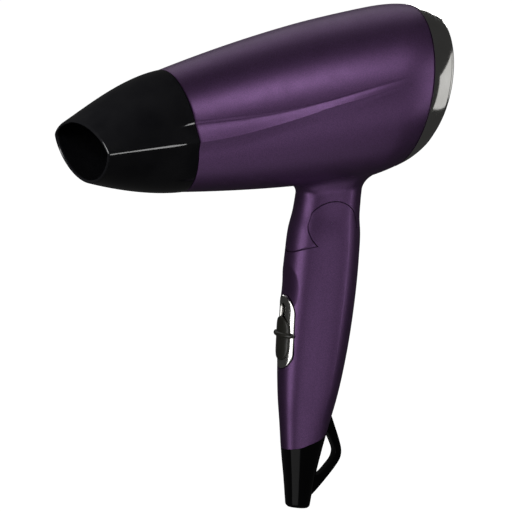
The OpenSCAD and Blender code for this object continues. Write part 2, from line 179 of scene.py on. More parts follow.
def apply_modifiers(solid):
    bpy.context.view_layer.update()
    graph = bpy.context.evaluated_depsgraph_get()
    made = bpy.data.meshes.new_from_object(solid.evaluated_get(graph))
    solid.modifiers.clear()
    solid.data = made
    return solid


def combine(target, tool, operation):
    """Adds, cuts or intersects tool with target, and uses tool up."""
    step = target.modifiers.new("step", "BOOLEAN")
    step.object = tool
    step.operation = operation
    step.solver = "MANIFOLD"
    apply_modifiers(target)
    bpy.data.objects.remove(tool)
    return target


def add(target, tool):
    return combine(target, tool, "UNION")


def cut(target, tool):
    return combine(target, tool, "DIFFERENCE")


def keep(target, tool):
    return combine(target, tool, "INTERSECT")


def soften(solid, width, segments):
    """Rounds the solid's sharp edges."""
    bevel = solid.modifiers.new("soft", "BEVEL")
    bevel.width = width
    bevel.segments = segments
    bevel.limit_method = "ANGLE"
    bevel.angle_limit = math.radians(50)
    return apply_modifiers(solid)


def twin(source, name):
    made = bpy.data.objects.new(name, source.data.copy())
    bpy.context.scene.collection.objects.link(made)
    return made


def finish_piece(piece, name, material, body, nodes=(), sharp=32.0):
    """Names a finished solid, scales it to metres, shades it and hangs it on its CAD body."""
    piece.name = name
    piece.data.name = name
    piece.data.transform(Matrix.Scale(MM, 4))
    piece.data.materials.clear()
    piece.data.materials.append(material)
    piece.data.polygons.foreach_set("material_index", [0] * len(piece.data.polygons))
    piece.data.shade_smooth()
    piece.data.set_sharp_from_angle(angle=math.radians(sharp))
    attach(piece, body)
    if nodes:
        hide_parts(*nodes)
    return piece


# ---- materials ----


class Nodes:
    """A short way to write a shader's node tree."""

    def __init__(self, name):
        self.material = bpy.data.materials.new(name)
        self.material.use_nodes = True
        self.tree = self.material.node_tree
        self.shader = self.tree.nodes["Principled BSDF"]
        self.place = self.make("ShaderNodeTexCoord").outputs["Object"]

    def make(self, kind, **values):
        node = self.tree.nodes.new(kind)
        for key, value in values.items():
            if hasattr(node, key):
                setattr(node, key, value)
            else:
                node.inputs[key.replace("_", " ")].default_value = value
        return node

    def link(self, source, target):
        self.tree.links.new(source, target)

    def noise(self, scale, detail=3.0, stretch=(1, 1, 1), roughness=0.5):
        """Noise whose grain is 1/scale metres across."""
        mapping = self.make("ShaderNodeMapping")
        mapping.inputs["Scale"].default_value = stretch
        self.link(self.place, mapping.inputs["Vector"])
        node = self.make("ShaderNodeTexNoise")
        node.inputs["Scale"].default_value = scale
        node.inputs["Detail"].default_value = detail
        node.inputs["Roughness"].default_value = roughness
        self.link(mapping.outputs["Vector"], node.inputs["Vector"])
        return node.outputs["Fac"]

    def ramp(self, source, low, high, start=0.3, end=0.7):
        node = self.make("ShaderNodeValToRGB")
        first, last = node.color_ramp.elements
        first.position, last.position = start, end
        first.color = (*low, 1.0)
        last.color = (*high, 1.0)
        self.link(source, node.inputs["Fac"])
        return node.outputs["Color"]

    def spread(self, source, low, high, start=0.25, end=0.75):
        node = self.make("ShaderNodeMapRange")
        for key, value in zip(("From Min", "From Max", "To Min", "To Max"), (start, end, low, high)):
            node.inputs[key].default_value = value
        self.link(source, node.inputs["Value"])
        return node.outputs["Result"]

    def bump(self, source, height, strength=1.0):
        node = self.make("ShaderNodeBump")
        node.inputs["Strength"].default_value = strength
        node.inputs["Distance"].default_value = height
        self.link(source, node.inputs["Height"])
        self.link(node.outputs["Normal"], self.shader.inputs["Normal"])

    def set(self, **values):
        for key, value in values.items():
            self.shader.inputs[key.replace("_", " ")].default_value = value


def moulded(name, dark, light, rough, grain=900.0, height=2e-5, metallic=0.0, mottle=40.0, **values):
    """The common finish: a colour that drifts a little, roughness that drifts, and a fine grain."""
    n = Nodes(name)
    n.link(n.ramp(n.noise(mottle, 4.0), dark, light), n.shader.inputs["Base Color"])
    n.link(n.spread(n.noise(mottle * 2.3, 3.0), *rough), n.shader.inputs["Roughness"])
    n.bump(n.noise(grain, 2.0), height)
    n.set(Metallic=metallic, **values)
    return n.material


def purple_paint():
    """Satin metallic paint: fine flakes that differ in tone, under a thin lacquer."""
    n = Nodes("purple_metallic_paint")
    flakes = n.make("ShaderNodeTexVoronoi")
    flakes.inputs["Scale"].default_value = 5200.0
    n.link(n.place, flakes.inputs["Vector"])
    tone = n.make("ShaderNodeSeparateColor")
    n.link(flakes.outputs["Color"], tone.inputs["Color"])
    paint = n.ramp(tone.outputs["Red"], PURPLE_DARK, PURPLE_LIGHT, 0.1, 0.95)
    n.link(paint, n.shader.inputs["Base Color"])
    n.link(n.spread(n.noise(130.0, 3.0), 0.40, 0.46), n.shader.inputs["Roughness"])
    n.bump(n.noise(1500.0, 2.0), 1.2e-5, 0.6)
    n.set(Metallic=0.82, Coat_Weight=0.06, Coat_Roughness=0.28)
    return n.material


def chrome(name, low=0.07, high=0.15):
    """Plated trim: near-mirror, with the faint drift and hairlines of handling."""
    n = Nodes(name)
    n.link(n.ramp(n.noise(55.0, 3.0), (0.70, 0.69, 0.66), (0.82, 0.81, 0.78)), n.shader.inputs["Base Color"])
    n.link(n.spread(n.noise(420.0, 4.0, (1, 6, 1)), low, high), n.shader.inputs["Roughness"])
    n.bump(n.noise(700.0, 2.0, (1, 8, 1)), 2e-6, 0.4)
    n.set(Metallic=1.0)
    return n.material


def brushed(name, dark, light, rough, along=(1, 14, 1)):
    """Drawn, rolled or turned metal, with fine lines one way."""
    n = Nodes(name)
    n.link(n.ramp(n.noise(500.0, 4.0, along), dark, light), n.shader.inputs["Base Color"])
    n.link(n.spread(n.noise(650.0, 3.0, along), *rough), n.shader.inputs["Roughness"])
    n.bump(n.noise(900.0, 2.0, along), 6e-6, 0.5)
    n.set(Metallic=1.0)
    return n.material


def mica():
    """Split mica: pale flakes in thin layers."""
    n = Nodes("mica_sheet")
    flakes = n.make("ShaderNodeTexVoronoi")
    flakes.inputs["Scale"].default_value = 320.0
    n.link(n.place, flakes.inputs["Vector"])
    tone = n.make("ShaderNodeSeparateColor")
    n.link(flakes.outputs["Color"], tone.inputs["Color"])
    layers = n.ramp(tone.outputs["Red"], (0.34, 0.26, 0.15), (0.72, 0.62, 0.44), 0.0, 1.0)
    n.link(layers, n.shader.inputs["Base Color"])
    n.link(n.spread(tone.outputs["Green"], 0.35, 0.6), n.shader.inputs["Roughness"])
    n.bump(flakes.outputs["Distance"], 4e-5, 0.5)
    return n.material


def windings():
    """Varnished copper wire, laid in close turns."""
    n = Nodes("copper_windings")
    wave = n.make("ShaderNodeTexWave")
    wave.inputs["Scale"].default_value = 900.0
    wave.inputs["Distortion"].default_value = 0.6
    n.link(n.place, wave.inputs["Vector"])
    n.link(n.ramp(wave.outputs["Fac"], (0.22, 0.06, 0.02), (0.68, 0.28, 0.12)), n.shader.inputs["Base Color"])
    n.link(n.spread(n.noise(300.0), 0.25, 0.4), n.shader.inputs["Roughness"])
    n.bump(wave.outputs["Fac"], 1.2e-4, 0.8)
    n.set(Metallic=0.8)
    return n.material


PURPLE_DARK = (0.105, 0.052, 0.132)
PURPLE_LIGHT = (0.168, 0.078, 0.215)

purple = purple_paint()
gloss_black = moulded(
    "gloss_black_plastic", (0.004, 0.004, 0.005), (0.008, 0.008, 0.009), (0.11, 0.16),
    grain=420.0, height=5e-6, mottle=60.0, Specular_IOR_Level=0.3,
)
satin_black = moulded("satin_black_plastic", (0.012, 0.012, 0.013), (0.022, 0.022, 0.024), (0.38, 0.52))
trim = chrome("chrome_trim")
plate_chrome = chrome("switch_chrome", 0.10, 0.20)
switch_dark = moulded("switch_dark_plastic", (0.022, 0.022, 0.017), (0.036, 0.035, 0.028), (0.30, 0.42))

SLOT_MATERIALS = {
    "purple_shell": purple,
    "gloss_black": gloss_black,
    "satin_black": satin_black,
    "chrome_trim": trim,
    "switch_dark": switch_dark,
    "mica": mica(),
    "resistance_wire": brushed(
        "resistance_wire", (0.30, 0.27, 0.24), (0.55, 0.52, 0.48), (0.3, 0.45), (1, 1, 8)
    ),
    "cut_out": brushed("pressed_aluminium", (0.45, 0.45, 0.46), (0.68, 0.68, 0.69), (0.28, 0.42)),
    "ceramic_white": moulded(
        "white_ceramic", (0.70, 0.69, 0.65), (0.84, 0.83, 0.79), (0.35, 0.5), grain=1400.0
    ),
    "steel": brushed("bright_zinc_steel", (0.42, 0.43, 0.45), (0.66, 0.66, 0.68), (0.22, 0.36)),
    "magnet": moulded(
        "sintered_magnet", (0.05, 0.05, 0.055), (0.10, 0.10, 0.11), (0.5, 0.7), metallic=0.5
    ),
    "bronze": brushed("sintered_bronze", (0.42, 0.26, 0.10), (0.70, 0.48, 0.22), (0.35, 0.5)),
    "copper_winding": windings(),
    "circuit_board": moulded(
        "solder_mask", (0.02, 0.11, 0.04), (0.04, 0.19, 0.07), (0.28, 0.4), mottle=300.0
    ),
    "white_plastic": moulded("white_plastic", (0.66, 0.66, 0.63), (0.80, 0.80, 0.77), (0.35, 0.5)),
    "capacitor": moulded("capacitor_case", (0.58, 0.42, 0.05), (0.78, 0.60, 0.12), (0.35, 0.5)),
    "gland_rubber": moulded(
        "gland_rubber", (0.010, 0.010, 0.010), (0.024, 0.024, 0.024), (0.55, 0.72), grain=1300.0
    ),
}


def finish_cad_nodes():
    """Every CAD node that stays in view keeps its shape and takes its slot's procedural finish."""
    slots = {s["node"]: s["material_slot"] for s in frame["record"]["subparts"]}
    for name, node in frame["nodes"].items():
        node.data.materials.clear()
        node.data.materials.append(SLOT_MATERIALS[slots[name]])


# ---- barrel ----

# Stations along the barrel from a point above the hinge, and the radii there
FRONT_X, FULL_X, REAR_X = -78.0, 30.0, 48.0
FRONT_R, FULL_R, REAR_R = 31.0, 41.7, 39.4
WALL = 2.2
END_ROUND = 0.35
REAR_SLANT = 17.0  # degrees

# The swoosh on each side: angles above the level, in degrees, at stations along the barrel
SWOOSH_END = 33.0
SWOOSH_OUT = 2.3  # how far the ridge stands out at the nozzle
GROOVE = 0.5  # depth below the upper crease
GROOVE_AT = 0.2  # of the way from that crease to the ridge
upper_crease = curve([(-78, 17.3), (-53, 13.7), (-28, 12.4), (-6, 13.6), (12, 15.9), (31, 18.0)])
ridge = curve([(-78, -1.2), (-60, -0.6), (-43, 1.6), (-25, 4.6), (-7, 7.9), (9, 9.7), (22, 11.5)])
lower_edge = curve([(-73, -14.0), (-55, -12.2), (-34, -6.3), (-21, -2.8), (-3, 2.0), (11, 6.7), (23, 10.6)])
LEVEL_STEPS = (58, 9, 22, 60)  # points below the swoosh, in its two facets, and above it


def outer_r(x):
    x = np.asarray(x, float)
    front = FULL_R - (FULL_R - FRONT_R) * (np.clip(FULL_X - x, 0, None) / (FULL_X - FRONT_X)) ** 1.7
    rear = FULL_R - (FULL_R - REAR_R) * ((x - FULL_X) / (REAR_X - FULL_X)) ** 2
    return np.where(x < FULL_X, front, rear)


def slant_at(x):
    """Slant of a section at x, which grows towards the rear end."""
    return math.radians(REAR_SLANT) * smooth(x / (REAR_X - 5))


def swoosh_knots(x):
    """Lower edge, ridge and upper crease at x, kept in order where they run out."""
    x = min(x, SWOOSH_END + 1)
    top = float(upper_crease(x))
    mid = min(float(ridge(x)), top - 1.5)
    low = min(float(lower_edge(x)), mid - 0.6)
    return low, mid, top


def swoosh(x, level, knots):
    """How far the skin stands out at an angle above the level. The upper facet is hollow; the lower one
    is hollow by the nozzle and flat from the barrel's middle on."""
    low, mid, top = knots
    along = (x - FRONT_X) / (SWOOSH_END - FRONT_X)
    if level >= top or level <= low or along >= 1:
        return 0.0
    height = SWOOSH_OUT * (1 - along) ** 1.1
    if level >= mid:
        v = (top - level) / (top - mid)
        u = v / GROOVE_AT
        return height * v**1.8 - GROOVE * (1 - along**4) * u * math.exp(1 - u) * (1 - v)
    w = (mid - level) / (mid - low)
    hollow = 1.9 - 0.9 * float(smooth((x + 60) / 70))
    return height * (1 - w) ** hollow


def side_levels(x):
    """Angles above the level of the points up one side, from the bottom to just short of the top."""
    knots = (-90.0, *swoosh_knots(x), 90.0)
    return np.concatenate([
        np.linspace(start, end, count, endpoint=False)
        for start, end, count in zip(knots, knots[1:], LEVEL_STEPS)
    ])


def both_sides(half, top):
    """Values up the left side, at the top, and down the right side."""
    return np.concatenate([half, [top], half[:0:-1]])


def side_signs(count):
    """-1 for the points of the left side and 1 for those of the right, for count points a side."""
    return np.where(np.arange(2 * count) <= count, -1.0, 1.0)


def barrel_ring(x, inset=0.0, lift=1.0):
    """Points round the barrel, sheared to its slant at x. With lift 0 they leave out the swoosh."""
    half = side_levels(x)
    knots = swoosh_knots(x)
    out = both_sides([lift * swoosh(x, v, knots) for v in half], 0.0)
    level = np.radians(both_sides(half, 90.0))
    r = outer_r(x) - inset + out
    rise = r * np.sin(level)
    return np.stack([x + rise * math.tan(slant_at(x)), side_signs(len(half)) * r * np.cos(level), rise], 1)


def barrel_outside():
    rings = [barrel_ring(FRONT_X, END_ROUND), barrel_ring(FRONT_X + 0.1, END_ROUND * 0.3)]
    rings.append(barrel_ring(FRONT_X + END_ROUND))
    rings += [barrel_ring(x) for x in steps(FRONT_X + 1.1, REAR_X - END_ROUND, 0.8)]
    rings += [barrel_ring(REAR_X - 0.1, END_ROUND * 0.3), barrel_ring(REAR_X, END_ROUND)]
    return loft(rings, "barrel", BARREL)


def barrel_inside():
    return loft([barrel_ring(x, WALL, 0.0) for x in steps(FRONT_X - 2, REAR_X + 2, 4.0)], place=BARREL)


# ---- handle outline ----

GRIP_LEN = 144.0
GRIP_POINTS = 240  # round a section
GRIP_SHIFT = 1.1  # of the grip's middle line, behind the hinge pin
GRIP_FLAT = 0.821  # width of a section over its depth
GRIP_FULL = 0.92  # below 1, a section is fuller than an oval
ROUND_FROM = 95.0  # from here down the section turns round
grip_half = curve([(-34, 17), (-12, 16.8), (-5, 17.2), (3, 18.4), (17, 19), (40, 19), (65, 17.7), (90, 14.8),
                   (102, 12.6), (115, 10.3), (130, 7.7), (144, 5.9)])
grip_centre = curve([(-34, 1.9), (-16, 1.7), (0, 1.3), (20, 1.3), (50, 1.1), (80, 0.8), (102, 0.4),
                     (115, 0.2), (130, 0.5), (144, 1.1)])

# The lengthwise crease on each side
CREASE_AT, CREASE_WIDE = 71.0, 26.0  # degrees from the back, and to where it ends
CREASE_OUT = 0.75
CREASE_FADE = (84.0, 114.0)

NECK_TOP = -34.0  # inside the barrel
FILLET = 6.0  # between the neck and the barrel
FILLET_ROUNDS = 14

# The hinge
CHEEK_R, CHEEK_Y = 12.8, 9.8  # the handle's two round cheeks lie outside CHEEK_Y
KNUCKLE_R, KNUCKLE_Y = 22.8, 16.2
KNUCKLE_CORE_R = 15.6  # between the cheeks
LOBE_X = -7.0  # the knuckle is seen ahead of this
SEAM_GAP = 0.45  # seen round the cheeks
PIN_R, BUSH_R = 3.0, 5.0
PIN_END, BUSH_END = 14.25, 12.3
BUSH_START = 8.0
HOLE_ROOM = 0.1
LEAD_HOLE_R = 5.0


def grip_ring(d, inset=0.0, crease=1.0, flare=False):
    """A section d down the grip, or up the neck where d is negative."""
    angle = (np.arange(GRIP_POINTS) + 0.5) * 2 * math.pi / GRIP_POINTS
    c, s = np.cos(angle), np.sin(angle)
    deep = float(grip_half(d))
    wide = deep * (GRIP_FLAT + (1 - GRIP_FLAT) * float(smooth((d - ROUND_FROM) / (GRIP_LEN - ROUND_FROM))))
    from_back = 180 - np.abs(180 - np.degrees(angle))
    fold = np.clip(1 - np.abs(from_back - CREASE_AT) / CREASE_WIDE, 0, None)
    fade = 1 - float(smooth((d - CREASE_FADE[0]) / (CREASE_FADE[1] - CREASE_FADE[0])))
    out = crease * CREASE_OUT * fade * fold - inset
    x = float(grip_centre(d)) + deep * np.abs(c) ** GRIP_FULL * np.sign(c) + out * c
    y = -(wide * np.abs(s) ** GRIP_FULL * np.sign(s) + out * s)
    points = np.stack([x, y, np.full(GRIP_POINTS, -float(d))], 1)
    return flared(points, c, s) if flare else points


def underside_r(x):
    """Height of the barrel's axis above its underside at x, where the slanted rear end draws it up."""
    along = steps(FRONT_X, REAR_X, 1.0)
    r, s = outer_r(along), slant_at(along)
    return np.interp(x, along - r * np.tan(s), r)


def flared(points, c, s):
    """Pushes the neck outwards near the barrel, so that it runs into it with a round fillet."""
    turn = np.array((BARREL.inverted() @ GRIP).to_3x3())
    shift = np.array((BARREL.inverted() @ GRIP).translation)
    push = np.zeros(len(points))
    for _ in range(FILLET_ROUNDS):
        moved = points + np.stack([c * push, -s * push, 0 * push], 1)
        at = moved @ turn.T + shift
        clear = np.hypot(at[:, 1], at[:, 2]) - underside_r(at[:, 0])
        near = np.clip(FILLET - clear, 0, FILLET)
        push = 0.5 * push + 0.5 * (FILLET - np.sqrt(FILLET**2 - near**2))
    return moved


def grip_solid(d_values, inset=0.0, crease=1.0, flare=False, name="tool"):
    return loft([grip_ring(d, inset, crease, flare) for d in d_values], name, GRIP)


def knuckle(grow=0.0):
    """The round knuckle about the hinge axis, grown all over."""
    rings = []
    for across in np.linspace(-0.985, 0.985, 61):
        r = (KNUCKLE_R + grow) * math.sqrt(1 - across**2)
        rings.append([(x, (KNUCKLE_Y + grow) * across, z) for x, z in circle(r, 200)])
    return loft(rings, place=GRIP)


def neck():
    """Neck, front lobe and knuckle that stay with the barrel, with room for cheeks, bushes and leads."""
    made = grip_solid(steps(NECK_TOP, 17, 0.8), flare=True, name="neck")
    inner = CHEEK_Y - GAP
    above = block((-FAR, -FAR, GAP / 2), (FAR, FAR, FAR), GRIP)
    lobe = block((-FAR, -FAR, -FAR), (LOBE_X, FAR, FAR), GRIP)
    add(lobe, rod_y(KNUCKLE_CORE_R, -inner, inner, place=GRIP))
    keep(lobe, knuckle())
    keep(made, add(above, lobe))
    for side in (-1, 1):
        cut(made, rod_y(CHEEK_R + SEAM_GAP, *sorted((side * inner, side * FAR)), place=GRIP))
        cut(made, rod_y(BUSH_R + HOLE_ROOM, *sorted((side * BUSH_START, side * FAR)), place=GRIP))
    cut(made, rod_z(LEAD_HOLE_R, -8, 32, place=GRIP))
    return made


# ---- barrel shells ----

BARREL_SCREWS = ((-34, 31), (-34, -31))  # along the barrel, and above its axis
BARREL_BOSS_Y = 14.0
BARREL_SCREW_Y, BARREL_HEAD_Y = (-10.0, 12.5), (10.0, 30.0)
SCREW_HOLE_R, HEAD_HOLE_R = 1.35, 2.6
BOSS_WALL = 1.85
NECK_BORE_R = 10.3


def half_of(solid, side, name):
    made = twin(solid, name)
    y0, y1 = (SEAM, FAR) if side > 0 else (-FAR, -SEAM)
    return keep(made, block((-FAR, y0, -FAR), (FAR, y1, 2 * FAR)))


def make_barrel():
    shell = add(barrel_outside(), neck())
    inside = barrel_inside()
    for at in BARREL_SCREWS:
        cut(inside, rod_y(SCREW_HOLE_R + BOSS_WALL, -BARREL_BOSS_Y, BARREL_BOSS_Y, at, BARREL))
    cut(shell, inside)
    cut(shell, rod_z(NECK_BORE_R, 8, -NECK_TOP, (GRIP_SHIFT, 0), GRIP))
    for at in BARREL_SCREWS:
        cut(shell, rod_y(SCREW_HOLE_R, *BARREL_SCREW_Y, at, BARREL))
        cut(shell, rod_y(HEAD_HOLE_R, *BARREL_HEAD_Y, at, BARREL))
    left = half_of(shell, -1, "barrel_left")
    right = half_of(shell, 1, "barrel_right")
    bpy.data.objects.remove(shell)
    finish_piece(left, "barrel_skin_left", purple, "barrel", ["barrel_shell_left"])
    finish_piece(right, "barrel_skin_right", purple, "barrel", ["barrel_shell_right"])


# ---- intake ring ----

RIM_X = REAR_X + 13.5
RIM_R, RIM_IN = 34.9, 31.6
RIM_SLANT = 19.0  # degrees
RING_PROUD = 0.15  # past the barrel
STEP_AT, STEP_IN = 0.80, 0.75  # of the way to the rim, and its depth


def rim_circle(t, r, across=True):
    """A ring of points, t from the barrel's seam to the rear rim. At the seam it is round when seen
    along the barrel; the rim and the intake opening are round in their own slanted plane."""
    s = math.radians(REAR_SLANT + (RIM_SLANT - REAR_SLANT) * t)
    x = REAR_X + GAP + (RIM_X - REAR_X - GAP) * t
    squeeze = 1 - (1 - math.cos(s)) * t**0.6 if across else math.cos(s)
    return [(x + z * squeeze * math.tan(s), y, z * squeeze) for y, z in circle(r, 288)]


def make_trim_ring():
    """A broad rounded band, a fine step, a narrow rear rim, and the way back inside."""

    def dome(t):
        return REAR_R + RING_PROUD - (REAR_R - RIM_R) * t**2.2

    rings = [rim_circle(0, dome(0) - 0.45), rim_circle(0.012, dome(0.01) - 0.12)]
    rings += [rim_circle(t, dome(t)) for t in np.linspace(0.03, STEP_AT, 26)]
    rings.append(rim_circle(STEP_AT + 0.012, dome(STEP_AT) - STEP_IN / 3))
    rings.append(rim_circle(STEP_AT + 0.02, dome(STEP_AT) - STEP_IN))
    rings += [rim_circle(t, dome(t) - STEP_IN) for t in np.linspace(0.86, 0.96, 5)]
    rings += [rim_circle(0.99, dome(1) - STEP_IN - 0.1), rim_circle(1.0, dome(1) - STEP_IN - 0.45)]
    rings.append(rim_circle(1.0, RIM_IN + 0.3, False))
    rings += [rim_circle(t, RIM_IN, False) for t in (0.985, 0.62)]
    rings += [rim_circle(t, dome(t) - WALL) for t in (0.5, 0.25, 0.0)]
    ring = loft(rings, place=BARREL, closed=True)
    finish_piece(ring, "rear_trim", trim, "barrel", ["rear_trim_ring"])


# ---- nozzle ----

NOZZLE_LEN = 49.8
MOUTH_W = 31.4  # half the width of the mouth
MOUTH_UP, MOUTH_DOWN = 11.6, 19.4  # its heights above and below its side points
POINTED_UP, POINTED_DOWN = 0.65, 0.4  # how pointed its sides are, from 0 for an oval
SIDE_RISE = 2.2  # those points lie this far above the barrel axis
NOZZLE_WALL = 1.8
LIP = 1.0  # rounding outside the mouth
RIDGE_OUT, RIDGE_WIDE = 1.6, 7.0  # mm, and degrees to each side
SOCKET_R = 27.9  # round the collar


def nozzle_ring(x, inset=0.0):
    """The barrel's front section, drawn down to an oval that is pointed at its sides. Its facets turn
    into a narrow ridge."""
    t = (FRONT_X - x) / NOZZLE_LEN
    half = side_levels(FRONT_X)
    knots = swoosh_knots(FRONT_X)
    facets = np.array([swoosh(FRONT_X, v, knots) for v in half])
    narrow = RIDGE_OUT * np.exp(-(((half - knots[1]) / RIDGE_WIDE) ** 2))
    turned = float(smooth(t / 0.3))
    out = both_sides((1 - turned) * facets + turned * narrow, 0.0) * max(0.0, 1 - t)
    levels = both_sides(half, 90.0)
    c, s = np.cos(np.radians(levels)), np.sin(np.radians(levels))
    up = levels >= 0
    drawn = np.where(up, max(t, 0.0) ** 1.7, max(t, 0.0) ** 1.65)
    w = FRONT_R + (MOUTH_W - FRONT_R) * t - inset * 1.5
    h = FRONT_R - (FRONT_R - np.where(up, MOUTH_UP, MOUTH_DOWN)) * drawn - inset
    q = 2 - np.where(up, POINTED_UP, POINTED_DOWN) * np.clip(t, 0, 1)
    z = SIDE_RISE * t + h * np.sign(s) * np.abs(s) ** (2 / q) + out * s
    return np.stack([np.full(len(z), float(x)), side_signs(len(half)) * (w + out) * c, z], 1)


def make_nozzle():
    mouth = FRONT_X - NOZZLE_LEN
    back = FRONT_X - GAP
    back_round = 0.3
    rings = [nozzle_ring(mouth + LIP * (1 - math.sin(v)), LIP * (1 - math.cos(v)))
             for v in np.radians((90, 75, 60, 45, 30, 15, 5))]
    rings += [nozzle_ring(x) for x in steps(mouth + 1.4, back - back_round, 0.9)]
    rings += [nozzle_ring(back - 0.08, back_round * 0.3), nozzle_ring(back, back_round)]
    body = loft(rings, "nozzle", BARREL)
    inside = [nozzle_ring(mouth - 1, 0.9), nozzle_ring(mouth + 0.02, 0.95), nozzle_ring(mouth + 0.4, 1.5)]
    inside += [nozzle_ring(x, NOZZLE_WALL) for x in steps(mouth + 1.0, FRONT_X + 1, 2.5)]
    cut(body, loft(inside, place=BARREL))
    socket = [[(x, y, z) for y, z in circle(SOCKET_R, 144)] for x in (FRONT_X - 8, FRONT_X + 8)]
    cut(body, loft(socket, place=BARREL))
    finish_piece(body, "nozzle_skin", gloss_black, "nozzle", ["concentrator_nozzle"], 26.0)


# ---- handle ----

HANDLE_SCREWS = ((9.5, 30), (5, 80))  # behind the hinge, and down the grip
HANDLE_BOSS_R, HANDLE_BOSS_Y = 3.0, 11.0
HANDLE_SCREW_Y, HANDLE_HEAD_Y = (-7.5, 12.0), (6.5, 20.0)
HANDLE_WALL = 2.3
PLATE_MID, PLATE_LEN, PLATE_W = 55.5, 37.0, 17.6
PLATE_ROOM = 0.5  # its window is this much longer and wider
FACE_R = 13.0  # of the grip's round front under the plate
SWITCH_TILT = math.radians(-3)
SWITCH = (
    GRIP
    @ Matrix.Translation((GRIP_SHIFT - float(grip_half(PLATE_MID)), 0, -PLATE_MID))
    @ Matrix.Rotation(SWITCH_TILT, 4, "Y")
)
SCOOP_D, SCOOP_LONG, SCOOP_WIDE, SCOOP_DEEP = 34.0, 13.0, 10.0, 1.5
cap_seam = curve([(-10, 114.6), (-8.3, 114.1), (-4.5, 113), (0, 111), (4, 109.3), (8, 107.4), (10.6, 105),
                  (12.6, 101), (13.8, 97), (14.6, 92)])


def above_seam(offset):
    """What lies above the curved seam of the end cap, raised by offset."""
    line = [(x, offset - float(cap_seam(x))) for x in steps(-12, 14.6, 0.4)]
    outline = [(-FAR, FAR), (-FAR, line[0][1])] + line + [(FAR, line[-1][1]), (FAR, FAR)]
    return prism_y(outline, -FAR, FAR, GRIP)


def obround(width, length, count=128):
    """Points (y, z) round a window with round ends."""
    r = width / 2
    turn = np.linspace(0, 2 * math.pi, count, endpoint=False) + math.pi / count
    y = r * np.cos(turn)
    z = r * np.sin(turn) + np.sign(np.sin(turn)) * (length / 2 - r)
    return np.stack([y, z], 1)


def obround_bar(width, length, x0, x1, up=0.0):
    """A bar of that section, run through the switch's face."""
    return loft([[(x, y, z + up) for y, z in obround(width, length)] for x in (x0, x1)], place=SWITCH)


def handle_ring(d):
    """A section of the grip with the thumb scoop above the switch."""
    points = grip_ring(d)
    away = ((d - SCOOP_D) / SCOOP_LONG) ** 2 + (points[:, 1] / SCOOP_WIDE) ** 2
    points[:, 0] += np.where(points[:, 0] < 0, SCOOP_DEEP * np.clip(1 - away, 0, None), 0.0)
    return points


def handle_sides():
    """Round cheeks on the hinge, and shoulders below it."""
    shoulders = [(-FAR, -2), (-10.5, -2), (0, -GAP / 2), (FAR, -GAP / 2), (FAR, -FAR), (-FAR, -FAR)]
    return add(prism_y(shoulders, -FAR, FAR, GRIP), rod_y(CHEEK_R, -FAR, FAR, place=GRIP))


def grip_hollow():
    made = grip_solid(steps(-6, 127, 3.0), HANDLE_WALL, 0.0)
    inner = CHEEK_Y - 0.4
    return keep(made, block((-FAR, -inner, -FAR), (FAR, inner, FAR), GRIP))


def knuckle_room():
    """What the knuckle needs as the handle folds: not the cheeks, nor the back wall that stays behind it."""
    made = knuckle(SEAM_GAP)
    for y0, y1 in ((-FAR, -CHEEK_Y), (CHEEK_Y, FAR)):
        cut(made, rod_y(CHEEK_R, y0, y1, place=GRIP))
    slope = math.tan(math.radians(33))
    back_wall = [(10, 1), (10, -10 * slope), (40, -40 * slope), (40, 1)]
    return cut(made, prism_y(back_wall, -FAR, FAR, GRIP))


def make_handle():
    d_values = np.concatenate([steps(-14, 20, 1.0)[:-1], steps(20, 48, 0.5)[:-1], steps(48, 126, 1.2)])
    shell = loft([handle_ring(d) for d in d_values], "handle", GRIP)
    keep(shell, handle_sides())
    keep(shell, above_seam(0.0))
    cut(shell, grip_hollow())
    cut(shell, block((-FAR, -CHEEK_Y, -GAP / 2), (FAR, CHEEK_Y, FAR), GRIP))
    cut(shell, knuckle_room())
    cut(shell, rod_y(PIN_R + HOLE_ROOM, -PIN_END, PIN_END, place=GRIP))
    cut(shell, rod_y(BUSH_R + GAP, -BUSH_END, BUSH_END, place=GRIP))
    cut(shell, obround_bar(PLATE_W + PLATE_ROOM, PLATE_LEN + PLATE_ROOM, -9, 9))
    places = [(x, -d) for x, d in HANDLE_SCREWS]
    first, second = [rod_y(HANDLE_BOSS_R, -HANDLE_BOSS_Y, HANDLE_BOSS_Y, at, GRIP, 64) for at in places]
    add(shell, add(first, second))
    for at in places:
        cut(shell, rod_y(SCREW_HOLE_R, *HANDLE_SCREW_Y, at, GRIP, 48))
        cut(shell, rod_y(HEAD_HOLE_R, *HANDLE_HEAD_Y, at, GRIP, 64))
    left = half_of(shell, -1, "handle_left")
    right = half_of(shell, 1, "handle_right")
    bpy.data.objects.remove(shell)
    finish_piece(left, "handle_skin_left", purple, "handle", ["handle_shell_left"])
    finish_piece(right, "handle_skin_right", purple, "handle", ["handle_shell_right"])


# ---- switch ----

SLOT_W, SLOT_LEN, SLOT_UP = 4.8, 28.5, 0.3
PAD_W, PAD_LEN = 13.6, 22.0
PAD_UP = -3.2  # the pad's middle from the plate's, at the low end of its travel
BAR_UP = PAD_UP + 2.0
BAR_R = FACE_R + 1.5  # from the middle of the grip's round front
BAR_WIDE, BAR_HALF, BAR_HIGH = 9.6, 1.2, 0.95
PLATE_EDGE = [(0.0, -1.8), (0.0, -0.5), (0.12, -0.2), (0.35, -0.05), (0.7, 0.0)]  # inset and height
SLOT_EDGE = [(0.6, -0.08), (0.2, -0.3), (0.0, -0.7), (0.0, -1.8)]  # growth and height
PAD_EDGE = [(0.0, 0.3), (0.0, 0.55), (0.15, 0.8), (0.5, 1.0), (1.1, 1.1), (2.4, 1.16), (4.0, 1.2),
            (5.6, 1.22)]  # inset and height
SHUTTER_IN = (3.0, 3.7)  # behind the plate's face
SHUTTER_W, SHUTTER_LEN = 9.6, 29.0


